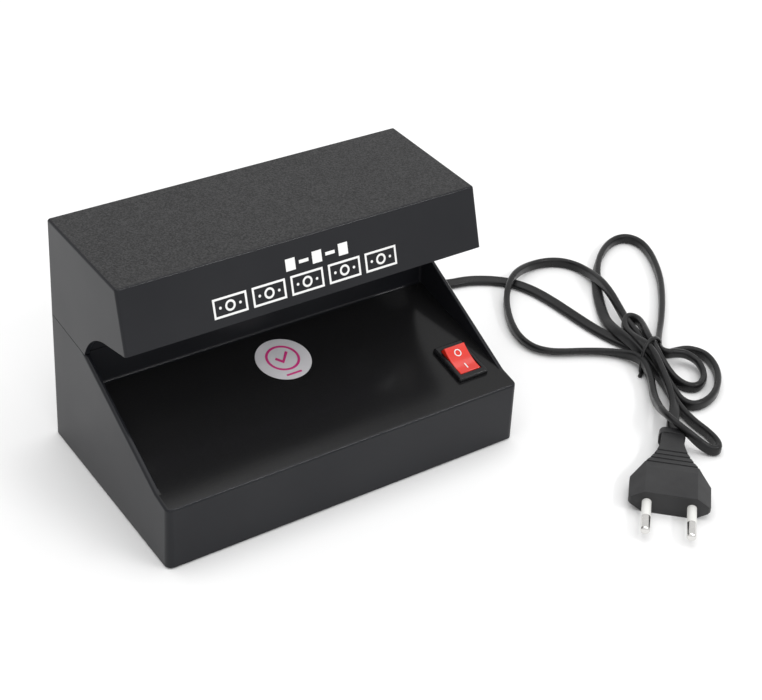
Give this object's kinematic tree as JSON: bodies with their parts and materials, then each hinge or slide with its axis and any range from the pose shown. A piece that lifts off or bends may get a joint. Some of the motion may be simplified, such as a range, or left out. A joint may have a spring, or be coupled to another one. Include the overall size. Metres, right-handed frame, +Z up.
{
  "type": "counterfeit bill detector",
  "caption": "Desk-top ultraviolet banknote checker: black hooded housing over a sloping deck with an open slot, round label, rocker switch, tied mains cord and plug.",
  "frame": {"origin": "on the table under the middle of the housing, level with the soles of the rubber feet", "axes": "+X along the long side, +Y to the rear, +Z up; the note slot and the low edge of the deck face -Y"},
  "size_m": [0.3245, 0.2561, 0.1057],
  "materials": {
    "housing_black": "glossy black injection moulding, fine dust",
    "plate_black": "matt black moulding",
    "foot_rubber": "matt",
    "screw_steel": "zinc plated",
    "lamp_glass": "dark violet filter glass",
    "cap_aluminium": "satin",
    "pin_brass": "drawn",
    "holder_white": "moulded white thermoplastic",
    "contact_brass": "stamped",
    "reflector_aluminium": "bright rolled sheet",
    "switch_black": "smooth black moulding",
    "spring_steel": "spring wire",
    "board_green": "solder resist",
    "ferrite": "ground ferrite",
    "winding_copper": "yellow tape over copper",
    "can_sleeve": "shrink sleeve",
    "film_red": "dipped epoxy",
    "chip_black": "moulded epoxy",
    "fuse_glass": "clear glass with plated caps",
    "wire_brown": "insulated wire",
    "wire_blue": "insulated wire",
    "wire_white": "insulated wire",
    "sticker_paper": "white coated label",
    "cord_black": "satin black flexible PVC",
    "pin_nickel": "nickel plated brass",
    "sleeve_white": "moulded white sleeve",
    "rocker_red": "glossy translucent red"
  },
  "bodies": {
    "housing": {"base_housing": "housing_black", "top_housing": "housing_black", "bottom_plate": "plate_black", "rubber_feet": "foot_rubber", "plate_screws": "screw_steel", "hood_screws": "screw_steel", "board_screws": "screw_steel", "lamp_screws": "screw_steel", "lampholder_left": "holder_white", "lampholder_right": "holder_white", "lampholder_contacts": "contact_brass", "reflector": "reflector_aluminium", "switch_housing": "switch_black", "switch_blade": "contact_brass", "switch_terminals": "contact_brass", "circuit_board": "board_green", "choke_core": "ferrite", "choke_winding": "winding_copper", "smoothing_capacitor": "can_sleeve", "film_capacitors": "film_red", "power_transistors": "chip_black", "board_fuse": "fuse_glass", "terminal_block": "holder_white", "mains_leads": "wire_brown", "switch_leads": "wire_blue", "lamp_leads": "wire_white", "deck_sticker": "sticker_paper", "cord_strain_relief": "cord_black", "cord_lead": "cord_black", "cord_hank": "cord_black", "cord_tie": "cord_black", "cord_tail": "cord_black", "plug_body": "cord_black", "plug_pins": "pin_nickel", "plug_sleeves": "sleeve_white"},
    "rocker": {"switch_rocker": "rocker_red", "rocker_plunger": "holder_white", "plunger_spring": "spring_steel"},
    "uv_tube": {"uv_tube_glass": "lamp_glass", "uv_tube_caps": "cap_aluminium", "uv_tube_pins": "pin_brass", "lampholder_rotors": "holder_white"}
  },
  "joints": [
    {"name": "rocker_tilt", "type": "hinge", "parent": "housing", "child": "rocker", "pos_m": [0.0679, -0.03, 0.03301], "axis": [1, 0, 0], "range_deg": [-24, 0]},
    {"name": "tube_turn", "type": "hinge", "parent": "housing", "child": "uv_tube", "pos_m": [0, 0.002, 0.0892], "axis": [1, 0, 0], "range_deg": [0, 90]}
  ]
}
